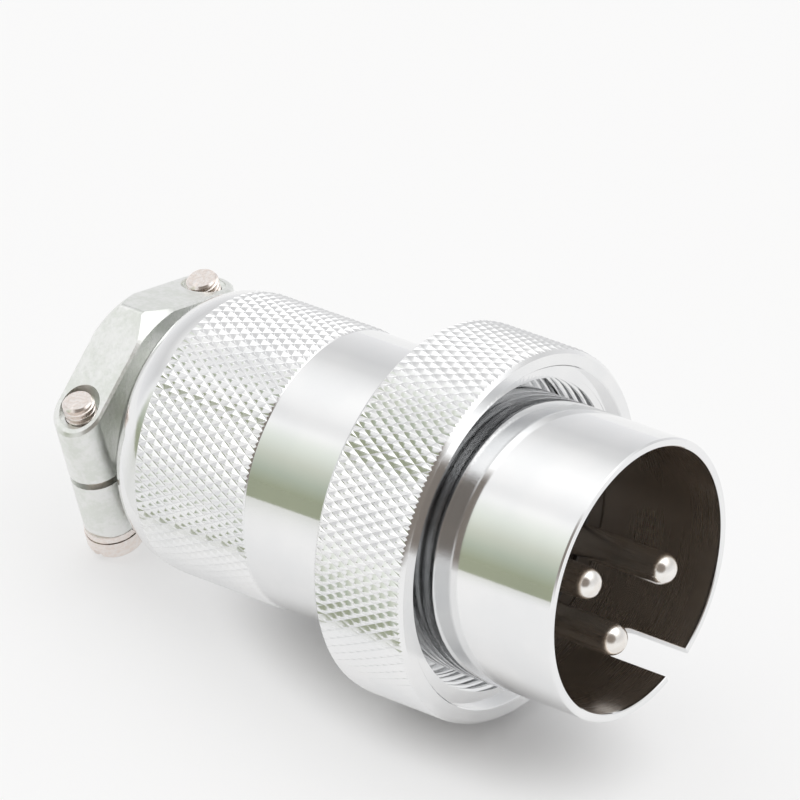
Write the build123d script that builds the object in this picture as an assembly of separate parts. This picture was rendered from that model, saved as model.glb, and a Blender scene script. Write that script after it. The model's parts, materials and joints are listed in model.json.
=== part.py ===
"""Round cable plug: male contacts, a knurled coupling nut, a knurled back shell and a two-screw cable clamp.

The plug is drawn along +X, with X = 0 on the mating rim, the mating end at +X and the clamp's ridge at +Z.
It is then laid on the floor as it comes to rest, on the coupling nut, the back shell and one screw's head.
All lengths are in millimetres. A station is a distance behind the mating rim.
"""
import math
import os

from build123d import *

# Coupling thread, which the nut and the shell are sized round
NUT_THREAD_D = 30.0
NUT_THREAD_PITCH = 1.0
THREAD_DEPTH_IN_PITCHES = 1.08

# Coupling nut
NUT_STATION = 12.9
NUT_LENGTH = 9.9
NUT_WALL = 2.5
NUT_CHAMFER = 0.5
NUT_MOUTH_STEP = 0.85
NUT_MOUTH_DEPTH = 0.9
NUT_RELIEF_DEPTH = 0.2
NUT_RELIEF_W = 1.6
NUT_LIP_T = 2.5
NUT_TRAVEL = 10.9
NUT_STOP_GAP = 0.1
SLIP_WASHER_T = 0.6
SLIP_WASHER_INSET = 0.1

# Front shell: one turned piece of plated brass
FLANGE_T = 1.4
FLANGE_H = 1.1
FLANGE_CLEARANCE = 0.16
SLEEVE_STEP = 0.16
SLEEVE_WALL = 0.78
RIM_EASE = 0.15
REAR_THREAD_STEP = 1.2
REAR_THREAD_LENGTH = 11.4
REAR_THREAD_RELIEF_W = 1.0
REAR_THREAD_RELIEF_DEPTH = 0.5
SHELL_WALL = 1.2

# Keyway in the rim, at an angle round the axis from +Y towards +Z
KEYWAY_ANGLE = -79.0
KEYWAY_W = 3.3
KEYWAY_LENGTH = 7.6

# Contact insert
INSERT_LIP_STATION = 13.4
INSERT_LIP_T = 1.2
INSERT_LIP_H = 0.8
FRONT_INSULATOR_T = 5.0
REAR_INSULATOR_T = 5.0
INSULATOR_KEY_W = 2.4
INSULATOR_KEY_H = 0.5
SNAP_RING_W = 1.0
SNAP_RING_DEPTH = 0.5
SNAP_RING_RADIAL = 1.6
SNAP_RING_GAP = 60.0

# Contacts: a square of four places with one left empty
CONTACT_D = 2.5
CONTACT_SHANK_D = 3.0
CONTACT_CIRCLE_D = 11.7
CONTACT_RECESS = 0.25
CONTACT_PLACES = 4
CONTACT_PLACES_FILLED = 3
CONTACT_COLLAR_H = 0.4
CONTACT_COLLAR_T = 1.4
SOLDER_CUP_WALL = 0.5
SOLDER_CUP_LENGTH = 6.5
SOLDER_CUP_DEPTH = 5.0
SOLDER_CUP_OPENING = 3.6

# Back shell
BACK_WALL = 1.4
BACK_LIP_BEVEL = 0.35
BACK_KNURL_LENGTH = 12.7
BACK_SHOULDER_LENGTH = 3.8
BACK_SHOULDER_DROP = 2.2

# Cable clamp
CABLE_D = 11.0
NECK_WALL = 2.7
NECK_EXPOSED = 1.8
CLAMP_LIP_STEP = 1.2
CLAMP_LIP_T = 1.2
CLAMP_W = 5.2
CLAMP_CROWN = 6.45
CLAMP_ROOF_SLOPE = 25.8
RIDGE_LENGTH = 2.4
SPLIT_GAP = 0.7
CABLE_MOUTH_EASE = 0.5

# Clamp screws, M3 by 16, and their spring washers
SCREW_D = 3.0
SCREW_WALL = 2.25
SCREW_TIP_PROUD = 0.8
SCREW_TIP_CHAMFER = 0.3
SCREW_HEAD_STEP = 1.25
SCREW_HEAD_H = 2.1
SCREW_HEAD_ROUND = 1.0
SCREW_SLOT_W = 0.8
SCREW_SLOT_DEPTH = 1.1
SCREW_EXIT_STEP = 0.5
SCREW_EXIT_DEPTH = 1.0
SCREW_CLEARANCE = 0.2
SADDLE_SEAT_DEPTH = 1.15
SPRING_WASHER_T = 0.7
SPRING_WASHER_W = 0.95
SPRING_WASHER_SPLIT = 0.5
SPRING_WASHER_SPLIT_ANGLE = 25.0

# Clearances
RUN = 0.07
FIT = 0.05
THREAD_ALLOWANCE = 0.05
LOOSE = 0.3

# How far a cutting form runs past what it cuts
PAST = 1.0

# Roll at rest, in degrees: the right screw's head comes down to the floor
REST_ROLL = 16.3

# Nut and front shell, from the coupling thread inwards
NUT_D = NUT_THREAD_D + 2 * NUT_WALL
NUT_MOUTH_D = NUT_THREAD_D + 2 * NUT_MOUTH_STEP
NUT_RELIEF_D = NUT_THREAD_D + 2 * NUT_RELIEF_DEPTH
NUT_THREAD_MINOR_D = NUT_THREAD_D - THREAD_DEPTH_IN_PITCHES * NUT_THREAD_PITCH
FLANGE_D = NUT_THREAD_MINOR_D - 2 * FLANGE_CLEARANCE
SLIP_WASHER_D = FLANGE_D - 2 * SLIP_WASHER_INSET
BARREL_D = FLANGE_D - 2 * FLANGE_H
SLEEVE_D = BARREL_D - 2 * SLEEVE_STEP
SLEEVE_BORE_D = SLEEVE_D - 2 * SLEEVE_WALL
REAR_THREAD_D = BARREL_D - 2 * REAR_THREAD_STEP
REAR_BORE_D = REAR_THREAD_D - 2 * SHELL_WALL

# Their stations, from the nut backwards
NUT_END = NUT_STATION + NUT_LENGTH
NUT_LIP_STATION = NUT_END - NUT_LIP_T
FLANGE_END = NUT_LIP_STATION - SLIP_WASHER_T - 2 * FIT
FLANGE_STATION = FLANGE_END - FLANGE_T
BARREL_END = NUT_END + NUT_TRAVEL + NUT_STOP_GAP
SHELL_END = BARREL_END + REAR_THREAD_LENGTH

# Insert and contacts
INSERT_LIP_D = REAR_BORE_D - 2 * INSERT_LIP_H
INSERT_STATION = INSERT_LIP_STATION + INSERT_LIP_T
INSERT_SPLIT = INSERT_STATION + FRONT_INSULATOR_T
INSERT_END = INSERT_SPLIT + REAR_INSULATOR_T
CONTACT_COLLAR_D = CONTACT_SHANK_D + 2 * CONTACT_COLLAR_H
CONTACT_STEP = 360 / CONTACT_PLACES
CONTACT_ANGLES = [KEYWAY_ANGLE + CONTACT_STEP * (0.5 - place) for place in range(CONTACT_PLACES_FILLED)]

# Back shell and clamp
BACK_D = REAR_THREAD_D + 2 * BACK_WALL
BACK_REAR_D = BACK_D - 2 * BACK_SHOULDER_DROP
BACK_KNURL_END = BARREL_END + BACK_KNURL_LENGTH
BACK_END = BACK_KNURL_END + BACK_SHOULDER_LENGTH
NECK_D = CABLE_D + 2 * NECK_WALL
CLAMP_LIP_D = REAR_THREAD_D - 2 * CLAMP_LIP_STEP
CLAMP_LIP_END = SHELL_END + CLAMP_LIP_T
CLAMP_STATION = BACK_END + NECK_EXPOSED
CLAMP_END = CLAMP_STATION + CLAMP_W
CLAMP_MIDDLE = CLAMP_STATION + CLAMP_W / 2
CLAMP_RIDGE_H = CABLE_D / 2 + CLAMP_CROWN
ROOF_FALL = math.tan(math.radians(CLAMP_ROOF_SLOPE))

# Screws
SCREW_SPACING = CABLE_D + SCREW_D + 2 * SCREW_WALL
SCREW_HEAD_D = SCREW_D + 2 * SCREW_HEAD_STEP
SCREW_EXIT_D = SCREW_D + 2 * SCREW_EXIT_STEP
SCREW_CLEAR_D = SCREW_D + 2 * SCREW_CLEARANCE
SPRING_WASHER_D = SCREW_CLEAR_D + 2 * SPRING_WASHER_W
FLAT_HEIGHT_AT_SCREW = CLAMP_RIDGE_H - ROOF_FALL * SCREW_SPACING / 2
SCREW_TIP_H = FLAT_HEIGHT_AT_SCREW + SCREW_TIP_PROUD
SADDLE_SEAT = SADDLE_SEAT_DEPTH - FLAT_HEIGHT_AT_SCREW
SCREW_HEAD_SEAT = SADDLE_SEAT - SPRING_WASHER_T


def turned(*points):
    """A solid turned about the X axis from (station, radius) points."""
    outline = Polyline(*[(-station, radius) for station, radius in points], close=True)
    return revolve(make_face(outline), Axis.X)


def bore(diameter, start, end):
    """A round bar on the X axis from one station to another, for cutting bores."""
    return turned((start, 0), (start, diameter / 2), (end, diameter / 2), (end, 0))


def round_bar(diameter, start, end, y=0.0, z=0.0):
    """A round bar along X between two stations, with its axis at (y, z)."""
    return Pos(0, y, z) * bore(diameter, start, end)


def upright_bar(diameter, low, high, y):
    """A round bar along Z on a clamp screw's axis."""
    bar = Cylinder(diameter / 2, high - low, align=(Align.CENTER, Align.CENTER, Align.MIN))
    return Pos(-CLAMP_MIDDLE, y, low) * bar


def front_shell():
    """Sleeve, flange, barrel and rear thread, with the insert's bore, keyway and snap ring groove."""
    blank = turned(
        (0, 0),
        (0, SLEEVE_D / 2 - RIM_EASE),
        (RIM_EASE, SLEEVE_D / 2),
        (FLANGE_STATION, SLEEVE_D / 2),
        (FLANGE_STATION, FLANGE_D / 2),
        (FLANGE_END, FLANGE_D / 2),
        (FLANGE_END, BARREL_D / 2),
        (BARREL_END, BARREL_D / 2),
        (BARREL_END, REAR_THREAD_D / 2 - REAR_THREAD_RELIEF_DEPTH),
        (BARREL_END + REAR_THREAD_RELIEF_W, REAR_THREAD_D / 2 - REAR_THREAD_RELIEF_DEPTH),
        (BARREL_END + REAR_THREAD_RELIEF_W + REAR_THREAD_RELIEF_DEPTH, REAR_THREAD_D / 2),
        (SHELL_END, REAR_THREAD_D / 2),
        (SHELL_END, 0),
    )
    blank -= bore(SLEEVE_BORE_D, -PAST, INSERT_LIP_STATION)
    blank -= bore(INSERT_LIP_D, INSERT_LIP_STATION - PAST, INSERT_STATION + PAST)
    blank -= bore(REAR_BORE_D, INSERT_STATION, SHELL_END + PAST)
    blank -= bore(REAR_BORE_D + 2 * SNAP_RING_DEPTH, INSERT_END, INSERT_END + SNAP_RING_W + 2 * FIT)
    blank -= insert_key(INSERT_STATION, INSERT_END, FIT)
    return blank - keyway()


def keyway():
    """The open slot in the rim, round at its blind end, that a mating key slides into."""
    reach = SLEEVE_D / 2 + PAST
    straight = KEYWAY_LENGTH - KEYWAY_W / 2
    slot = Pos(PAST, 0, 0) * Box(
        straight + PAST, KEYWAY_W, reach, align=(Align.MAX, Align.CENTER, Align.MIN)
    )
    slot += Pos(-straight, 0, 0) * Cylinder(
        KEYWAY_W / 2, reach, align=(Align.CENTER, Align.CENTER, Align.MIN)
    )
    return Rot(KEYWAY_ANGLE - 90, 0, 0) * slot


def insert_key(start, end, clearance):
    """The rib that keeps the insert from turning, on the same angle as the keyway."""
    width = INSULATOR_KEY_W + 2 * clearance
    height = REAR_BORE_D / 2 + INSULATOR_KEY_H + clearance
    rib = Box(end - start, width, height, align=(Align.MAX, Align.CENTER, Align.MIN))
    return Rot(KEYWAY_ANGLE - 90, 0, 0) * Pos(-start, 0, 0) * rib


def contact_places(diameter, start, end):
    """Round bars along X on the contact circle, joined into one cutter."""
    radius = CONTACT_CIRCLE_D / 2
    turns = [math.radians(angle) for angle in CONTACT_ANGLES]
    bars = [
        round_bar(diameter, start, end, radius * math.cos(turn), radius * math.sin(turn)) for turn in turns
    ]
    return Compound(children=bars)


def insulator(start, end, hole_d):
    """One moulded disc of the insert, with its key and the holes of the fitted contacts."""
    disc = bore(REAR_BORE_D - 2 * FIT, start, end)
    disc += insert_key(start, end, 0) & bore(REAR_BORE_D + 2 * INSULATOR_KEY_H, start, end)
    return disc - contact_places(hole_d, start - PAST, end + PAST)


def front_insulator():
    """Front disc, which fills the shell's lip so that its face shows between the contacts."""
    disc = insulator(INSERT_STATION, INSERT_SPLIT, CONTACT_SHANK_D + 2 * FIT)
    nose = bore(INSERT_LIP_D - 2 * FIT, INSERT_LIP_STATION, INSERT_STATION)
    nose -= contact_places(CONTACT_SHANK_D + 2 * FIT, INSERT_LIP_STATION - PAST, INSERT_STATION + PAST)
    return disc + nose


def rear_insulator():
    """Rear disc, with pockets that trap the contacts' collars against the front disc."""
    disc = insulator(INSERT_SPLIT, INSERT_END, CONTACT_SHANK_D + 2 * FIT)
    pocket_end = INSERT_SPLIT + CONTACT_COLLAR_T + FIT
    return disc - contact_places(CONTACT_COLLAR_D + 2 * FIT, INSERT_SPLIT - PAST, pocket_end)


def insert_snap_ring():
    """Open ring in the shell's groove that holds the insert against the lip."""
    outer = REAR_BORE_D / 2 + SNAP_RING_DEPTH - FIT
    ring = bore(2 * outer, INSERT_END + FIT, INSERT_END + FIT + SNAP_RING_W)
    ring -= bore(2 * (outer - SNAP_RING_RADIAL), INSERT_END - PAST, INSERT_END + SNAP_RING_W + PAST)
    half_gap = 2 * outer * math.tan(math.radians(SNAP_RING_GAP / 2))
    wedge = make_face(Polyline((0, 0), (2 * outer, half_gap), (2 * outer, -half_gap), close=True))
    wedge = Plane(origin=(-INSERT_END + PAST, 0, 0), x_dir=(0, 1, 0), z_dir=(-1, 0, 0)) * wedge
    return ring - Rot(90, 0, 0) * extrude(wedge, SNAP_RING_W + 2 * PAST)


def contact(angle):
    """One male contact: round-nosed pin, thicker shank, collar and a solder cup cut open outwards."""
    radius, shank_r = CONTACT_D / 2, CONTACT_SHANK_D / 2
    tip = CONTACT_RECESS
    cup_end = INSERT_END + SOLDER_CUP_LENGTH
    collar_end = INSERT_SPLIT + CONTACT_COLLAR_T
    nose = RadiusArc((-tip, 0), (-tip - radius, radius), -radius)
    body = Polyline(
        (-tip - radius, radius),
        (-INSERT_LIP_STATION, radius),
        (-INSERT_LIP_STATION, shank_r),
        (-INSERT_SPLIT, shank_r),
        (-INSERT_SPLIT, CONTACT_COLLAR_D / 2),
        (-collar_end, CONTACT_COLLAR_D / 2),
        (-collar_end, shank_r),
        (-cup_end, shank_r),
        (-cup_end, 0),
        (-tip, 0),
    )
    pin = revolve(make_face(nose + body), Axis.X)
    pin -= bore(CONTACT_SHANK_D - 2 * SOLDER_CUP_WALL, cup_end - SOLDER_CUP_DEPTH, cup_end + PAST)
    scoop = Box(
        SOLDER_CUP_OPENING + PAST,
        CONTACT_SHANK_D + PAST,
        CONTACT_SHANK_D,
        align=(Align.MAX, Align.CENTER, Align.MIN),
    )
    pin -= Pos(-cup_end + SOLDER_CUP_OPENING, 0, 0) * scoop
    return Rot(angle - 90, 0, 0) * Pos(0, 0, CONTACT_CIRCLE_D / 2) * pin


def coupling_nut():
    """Knurled nut with a chamfered mouth, an internal thread and a rear lip that runs on the barrel."""
    outer = NUT_D / 2
    nut = turned(
        (NUT_STATION, 0),
        (NUT_STATION, outer - NUT_CHAMFER),
        (NUT_STATION + NUT_CHAMFER, outer),
        (NUT_END - NUT_CHAMFER, outer),
        (NUT_END, outer - NUT_CHAMFER),
        (NUT_END, 0),
    )
    nut -= turned(
        (NUT_STATION - PAST, 0),
        (NUT_STATION - PAST, NUT_MOUTH_D / 2),
        (NUT_STATION, NUT_MOUTH_D / 2),
        (NUT_STATION + NUT_MOUTH_DEPTH, NUT_THREAD_MINOR_D / 2),
        (NUT_LIP_STATION - NUT_RELIEF_W, NUT_THREAD_MINOR_D / 2),
        (NUT_LIP_STATION - NUT_RELIEF_W, NUT_RELIEF_D / 2),
        (NUT_LIP_STATION, NUT_RELIEF_D / 2),
        (NUT_LIP_STATION, 0),
    )
    return nut - bore(BARREL_D + 2 * RUN, NUT_LIP_STATION - PAST, NUT_END + PAST)


def slip_washer():
    """Thin washer between the shell's flange and the nut's lip, which slides with the nut."""
    start = FLANGE_END + FIT
    washer = bore(SLIP_WASHER_D, start, start + SLIP_WASHER_T)
    return washer - bore(BARREL_D + 2 * RUN, start - PAST, start + SLIP_WASHER_T + PAST)


def back_shell():
    """Knurled cap that screws on the rear thread and pulls the clamp's lip against the shell."""
    outer = BACK_D / 2
    front = Polyline(
        (-BACK_END, NECK_D / 2 + FIT),
        (-CLAMP_LIP_END, NECK_D / 2 + FIT),
        (-CLAMP_LIP_END, CLAMP_LIP_D / 2 + FIT),
        (-SHELL_END, CLAMP_LIP_D / 2 + FIT),
        (-SHELL_END, REAR_THREAD_D / 2 + THREAD_ALLOWANCE),
        (-BARREL_END, REAR_THREAD_D / 2 + THREAD_ALLOWANCE),
        (-BARREL_END, outer - BACK_LIP_BEVEL),
        (-BARREL_END - BACK_LIP_BEVEL, outer),
        (-BACK_KNURL_END, outer),
    )
    shoulder = TangentArc((-BACK_KNURL_END, outer), (-BACK_END, BACK_REAR_D / 2), tangent=(-1, 0))
    rear_face = Line((-BACK_END, BACK_REAR_D / 2), (-BACK_END, NECK_D / 2 + FIT))
    return revolve(make_face(front + shoulder + rear_face), Axis.X)


def cable_bore():
    """The cable's way through the clamp, with an eased mouth."""
    radius = CABLE_D / 2
    return bore(CABLE_D, SHELL_END - PAST, CLAMP_END + PAST) + turned(
        (CLAMP_END - CABLE_MOUTH_EASE, 0),
        (CLAMP_END - CABLE_MOUTH_EASE, radius),
        (CLAMP_END + PAST, radius + CABLE_MOUTH_EASE + PAST),
        (CLAMP_END + PAST, 0),
    )


def clamp_block():
    """The upper jaw's outer form: a bar with round ends, two roof flats and a ridge bevelled at both ends."""
    half_length = SCREW_SPACING / 2 + CLAMP_W / 2
    plan = Pos(-CLAMP_MIDDLE, 0) * SlotOverall(2 * half_length, CLAMP_W, rotation=90)
    bar = Pos(0, 0, SPLIT_GAP / 2) * extrude(plan, CLAMP_RIDGE_H)
    eave = CLAMP_RIDGE_H - ROOF_FALL * (half_length + PAST)
    gable = Polyline(
        (0, CLAMP_RIDGE_H),
        (half_length + PAST, eave),
        (half_length + PAST, -PAST),
        (-half_length - PAST, -PAST),
        (-half_length - PAST, eave),
        close=True,
    )
    gable_plane = Plane(origin=(-CLAMP_END - PAST, 0, 0), x_dir=(0, 1, 0), z_dir=(1, 0, 0))
    house = extrude(gable_plane * make_face(gable), CLAMP_W + 2 * PAST)
    return (bar & house) - ridge_bevel()


def ridge_bevel():
    """What two cones take off the ends of the ridge, as far down as the middle of each flat."""
    flat_distance = CLAMP_RIDGE_H * math.cos(math.radians(CLAMP_ROOF_SLOPE))
    flat_middle = flat_distance * math.sin(math.radians(CLAMP_ROOF_SLOPE))
    envelope = turned(
        (CLAMP_STATION, 0),
        (CLAMP_STATION, flat_distance),
        (CLAMP_MIDDLE - RIDGE_LENGTH / 2, CLAMP_RIDGE_H),
        (CLAMP_MIDDLE + RIDGE_LENGTH / 2, CLAMP_RIDGE_H),
        (CLAMP_END, flat_distance),
        (CLAMP_END, 0),
    )
    top = Pos(-CLAMP_MIDDLE, 0, flat_distance / 2) * Box(
        CLAMP_W + PAST, 2 * flat_middle, CLAMP_RIDGE_H, align=(Align.CENTER, Align.CENTER, Align.MIN)
    )
    return top - envelope


def half_neck(start):
    """The half of the neck that a jaw carries between the back shell and the clamp, above the split."""
    neck = bore(NECK_D, start, CLAMP_STATION + FIT)
    above = Pos(-start, 0, SPLIT_GAP / 2) * Box(
        2 * NECK_D, 2 * NECK_D, NECK_D, align=(Align.CENTER, Align.CENTER, Align.MIN)
    )
    return neck & above


def screw_sides():
    """Name and Y of each clamp screw, seen from behind the plug with its ridge up."""
    return {"left": SCREW_SPACING / 2, "right": -SCREW_SPACING / 2}


def clamp_body():
    """Cast upper jaw, tapped for both screws, with a neck whose lip is rolled over inside the back shell."""
    body = bore(CLAMP_LIP_D, SHELL_END, CLAMP_LIP_END)
    body += bore(NECK_D, SHELL_END, BACK_END + LOOSE)
    body += half_neck(BACK_END + LOOSE)
    body += clamp_block()
    body -= cable_bore()
    for y in screw_sides().values():
        body -= upright_bar(SCREW_D + 2 * THREAD_ALLOWANCE, 0, CLAMP_RIDGE_H, y)
        body -= upright_bar(SCREW_EXIT_D, FLAT_HEIGHT_AT_SCREW - SCREW_EXIT_DEPTH, CLAMP_RIDGE_H, y)
    return body


def clamp_saddle():
    """Lower jaw: the upper one's form turned over, with flat seats for the screws' spring washers."""
    saddle = half_neck(BACK_END + 2 * LOOSE) + clamp_block()
    saddle -= cable_bore()
    saddle = mirror(saddle, Plane.XY)
    for y in screw_sides().values():
        saddle -= upright_bar(SCREW_CLEAR_D, -CLAMP_RIDGE_H, 0, y)
        saddle -= upright_bar(SCREW_HEAD_D + 2 * LOOSE, -CLAMP_RIDGE_H, SADDLE_SEAT, y)
    return saddle


def clamp_screw(y):
    """Pan-head screw from below, with its thread's outer cylinder and a driver slot."""
    shank = upright_bar(SCREW_D, SCREW_HEAD_SEAT, SCREW_TIP_H, y)
    shank = chamfer(shank.edges().sort_by(Axis.Z)[-1], SCREW_TIP_CHAMFER)
    head = upright_bar(SCREW_HEAD_D, SCREW_HEAD_SEAT - SCREW_HEAD_H, SCREW_HEAD_SEAT, y)
    head = fillet(head.edges().sort_by(Axis.Z)[0], SCREW_HEAD_ROUND)
    slot = Pos(-CLAMP_MIDDLE, y, SCREW_HEAD_SEAT - SCREW_HEAD_H) * Box(
        SCREW_HEAD_D + PAST, SCREW_SLOT_W, 2 * SCREW_SLOT_DEPTH
    )
    return shank + (head - slot)


def spring_washer(y):
    """Split washer between a screw's head and the saddle."""
    washer = upright_bar(SPRING_WASHER_D, SCREW_HEAD_SEAT + FIT, SADDLE_SEAT, y)
    washer -= upright_bar(SCREW_CLEAR_D, SCREW_HEAD_SEAT - PAST, SADDLE_SEAT + PAST, y)
    split = Rot(SPRING_WASHER_SPLIT_ANGLE, 0, 0) * Box(
        SPRING_WASHER_D,
        SPRING_WASHER_SPLIT,
        4 * SPRING_WASHER_T,
        align=(Align.MIN, Align.CENTER, Align.CENTER),
    )
    return washer - Pos(-CLAMP_MIDDLE, y, SADDLE_SEAT) * split


def pieces():
    """Every piece of the plug by name, lying along X."""
    made = {
        "front_shell": front_shell(),
        "front_insulator": front_insulator(),
        "rear_insulator": rear_insulator(),
        "insert_snap_ring": insert_snap_ring(),
        "coupling_nut": coupling_nut(),
        "slip_washer": slip_washer(),
        "back_shell": back_shell(),
        "clamp_body": clamp_body(),
        "clamp_saddle": clamp_saddle(),
    }
    for number, angle in enumerate(CONTACT_ANGLES, start=1):
        made[f"contact_pin_{number}"] = contact(angle)
    for side, y in screw_sides().items():
        made[f"clamp_screw_{side}"] = clamp_screw(y)
        made[f"spring_washer_{side}"] = spring_washer(y)
    return made


def rest_pitch():
    """How far the nose stands up, in degrees, with the nut's heel and what is behind it on the floor."""
    heel_station, heel_r = NUT_END - NUT_CHAMFER, NUT_D / 2
    keel_depth = CLAMP_RIDGE_H * math.cos(math.radians(REST_ROLL))
    supports = [
        (CLAMP_MIDDLE + RIDGE_LENGTH / 2, keel_depth),
        (BACK_KNURL_END, BACK_D / 2),
    ]
    return min(
        math.degrees(math.atan2(heel_r - depth, station - heel_station)) for station, depth in supports
    )


def at_rest(made):
    """The pieces tipped to their rest, with the origin on the floor below the middle of the plug."""
    tip = Rot(0, -rest_pitch(), 0) * Rot(REST_ROLL, 0, 0)
    tipped = {name: tip * piece for name, piece in made.items()}
    boxes = [piece.bounding_box() for piece in tipped.values()]
    middle_x = (min(box.min.X for box in boxes) + max(box.max.X for box in boxes)) / 2
    middle_y = (min(box.min.Y for box in boxes) + max(box.max.Y for box in boxes)) / 2
    floor = min(box.min.Z for box in boxes)
    return {name: Pos(-middle_x, -middle_y, -floor) * piece for name, piece in tipped.items()}


def main():
    os.makedirs("parts", exist_ok=True)
    for name, piece in at_rest(pieces()).items():
        export_step(piece, f"parts/{name}.step")


main()
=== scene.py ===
"""Looks of a round cable plug over its fixed frame, with its table, light and camera.

The plug's lengths are in millimetres in its own frame: X runs along its axis towards the mating end, with 0
on the mating rim, and Z points to the clamp's ridge. A station is a distance behind the rim. The table, the
card beside the plug and the camera are in metres.
"""
import json
import math

import bmesh
import bpy
from mathutils import Matrix, Vector


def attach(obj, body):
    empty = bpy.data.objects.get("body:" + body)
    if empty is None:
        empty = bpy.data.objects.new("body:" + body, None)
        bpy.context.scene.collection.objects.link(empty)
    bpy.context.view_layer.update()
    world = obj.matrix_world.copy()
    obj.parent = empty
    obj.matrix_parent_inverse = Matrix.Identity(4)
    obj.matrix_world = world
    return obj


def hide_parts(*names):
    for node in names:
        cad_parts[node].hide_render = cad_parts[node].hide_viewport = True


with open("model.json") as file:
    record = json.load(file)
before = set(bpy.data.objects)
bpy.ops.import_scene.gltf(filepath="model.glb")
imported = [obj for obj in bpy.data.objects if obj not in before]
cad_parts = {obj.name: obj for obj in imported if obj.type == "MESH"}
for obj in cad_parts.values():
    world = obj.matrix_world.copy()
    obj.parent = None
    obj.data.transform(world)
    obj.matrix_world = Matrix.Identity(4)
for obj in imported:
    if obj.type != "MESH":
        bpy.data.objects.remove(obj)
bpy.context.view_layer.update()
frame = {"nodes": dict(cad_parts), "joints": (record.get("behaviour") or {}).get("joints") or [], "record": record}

# The plug's own frame, from its mounts and joints
MM = 0.001
MOUNTS = {mount["name"]: mount for mount in frame["record"]["mounts"]}
JOINTS = {joint["name"]: joint for joint in frame["joints"]}
SLEEVE_MOUNT = MOUNTS["mating_sleeve"]
RIM_EASE = 0.15
AXIS = Vector(SLEEVE_MOUNT["axis"]).normalized()
UP = Vector(JOINTS["saddle_travel"]["axis"]).normalized()
PLUG_TURN = Matrix((AXIS, UP.cross(AXIS), UP)).transposed()
RIM = Vector(SLEEVE_MOUNT["pos_m"]) + AXIS * (SLEEVE_MOUNT["dims"]["length_mm"] / 2 + RIM_EASE) * MM
PLUG = Matrix.Translation(RIM) @ PLUG_TURN.to_4x4() @ Matrix.Scale(MM, 4)
INTO_PLUG = PLUG.inverted()


class Reach:
    """How far a node goes in the plug's frame: its end stations, its radii and its heights."""

    def __init__(self, node):
        points = [INTO_PLUG @ vert.co for vert in frame["nodes"][node].data.vertices]
        radii = [math.hypot(point.y, point.z) for point in points]
        self.front = -max(point.x for point in points)
        self.rear = -min(point.x for point in points)
        self.outer, self.inner = max(radii), min(radii)
        self.bottom = min(point.z for point in points)
        self.top = max(point.z for point in points)


NUT = Reach("coupling_nut")
SHELL = Reach("front_shell")
BACK = Reach("back_shell")
JAW = Reach("clamp_body")
SCREWS = {side: Reach(f"clamp_screw_{side}") for side in ("left", "right")}
CONTACT_NUMBERS = (1, 2, 3)

# Clearances, how far a cutting form runs past what it cuts, and how close points are one
RUN = 0.07
FIT = 0.05
LOOSE = 0.3
PAST = 1.0
WELD = 0.002
NEAR = 5 * WELD

# Front shell
SLEEVE_R = SLEEVE_MOUNT["dims"]["r_mm"]
SLEEVE_WALL = 0.78
SLEEVE_BORE_R = SLEEVE_R - SLEEVE_WALL
RIM_INNER_EASE = 0.08
FLANGE_STATION = RIM_EASE + SLEEVE_MOUNT["dims"]["length_mm"]
FLANGE_T = 1.4
FLANGE_R = SHELL.outer
BARREL_R = NUT.inner - RUN
REAR_THREAD_STEP = 1.2
REAR_THREAD_R = BARREL_R - REAR_THREAD_STEP
REAR_THREAD_RELIEF_W = 1.0
REAR_THREAD_RELIEF_DEPTH = 0.5
SHELL_WALL = 1.2
REAR_BORE_R = REAR_THREAD_R - SHELL_WALL
KEYWAY_ANGLE = -79.0
KEYWAY_W = 3.3
KEYWAY_LENGTH = 7.6

# The insert's seat in the shell
INSERT_LIP_STATION = 13.4
INSERT_LIP_T = 1.2
INSERT_LIP_H = 0.8
INSERT_LIP_R = REAR_BORE_R - INSERT_LIP_H
INSERT_STATION = INSERT_LIP_STATION + INSERT_LIP_T
INSERT_T = 10.0
SNAP_RING_W = 1.1
SNAP_RING_DEPTH = 0.5
SEAL_T = 0.5
SEAL_EASE = 0.12

# Knurls: rows of flat-topped diamonds
KNURL_ROW = 1.71
KNURL_WIDTH = 1.0
KNURL_DEPTH = 0.23
KNURL_FLANK = 0.33
KNURL_CROWN = 0.025
KNURL_CROWN_W = 0.06
KNURL_END_SHARE = 0.5

# Coupling nut
NUT_CHAMFER = 0.5
NUT_FACE_W = 1.15
NUT_MOUTH_DEPTH = 0.9
NUT_MOUTH_EASE = 0.1
NUT_LIP_T = 2.5
NUT_RELIEF_W = 1.6
NUT_RELIEF_R = 15.2
THREAD_D = 30.0
THREAD_PITCH = 1.0
THREAD_MINOR_R = 14.46
THREAD_ROOT = 0.06

# Back shell
BACK_LIP_BEVEL = 0.35
BACK_KNURL_LENGTH = 12.7
BACK_SHOULDER_DROP = 2.2

# Cable clamp
CABLE_R = MOUNTS["cable_clamp"]["dims"]["r_mm"]
CABLE_MOUTH_EASE = 0.5
CLAMP_W = 5.2
CLAMP_MIDDLE = -(INTO_PLUG @ Vector(JOINTS["screw_left_turn"]["pos_m"])).x
CLAMP_ROOF_SLOPE = math.radians(25.8)
ROOF_FALL, ROOF_RISE = math.sin(CLAMP_ROOF_SLOPE), math.cos(CLAMP_ROOF_SLOPE)
CLAMP_LIP_T = 1.2
CLAMP_LIP_END = SHELL.rear + CLAMP_LIP_T
CLAMP_LIP_DROP = 1.2
CLAMP_LIP_R = REAR_THREAD_R - CLAMP_LIP_DROP
NECK_R = BACK.inner - FIT
NECK_END = CLAMP_MIDDLE - CLAMP_W / 2 + LOOSE
RIDGE_LENGTH = 2.4
RIDGE_STRIP = 0.5
SPLIT_GAP = 0.7
CAST_EDGE = 0.22

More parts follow.
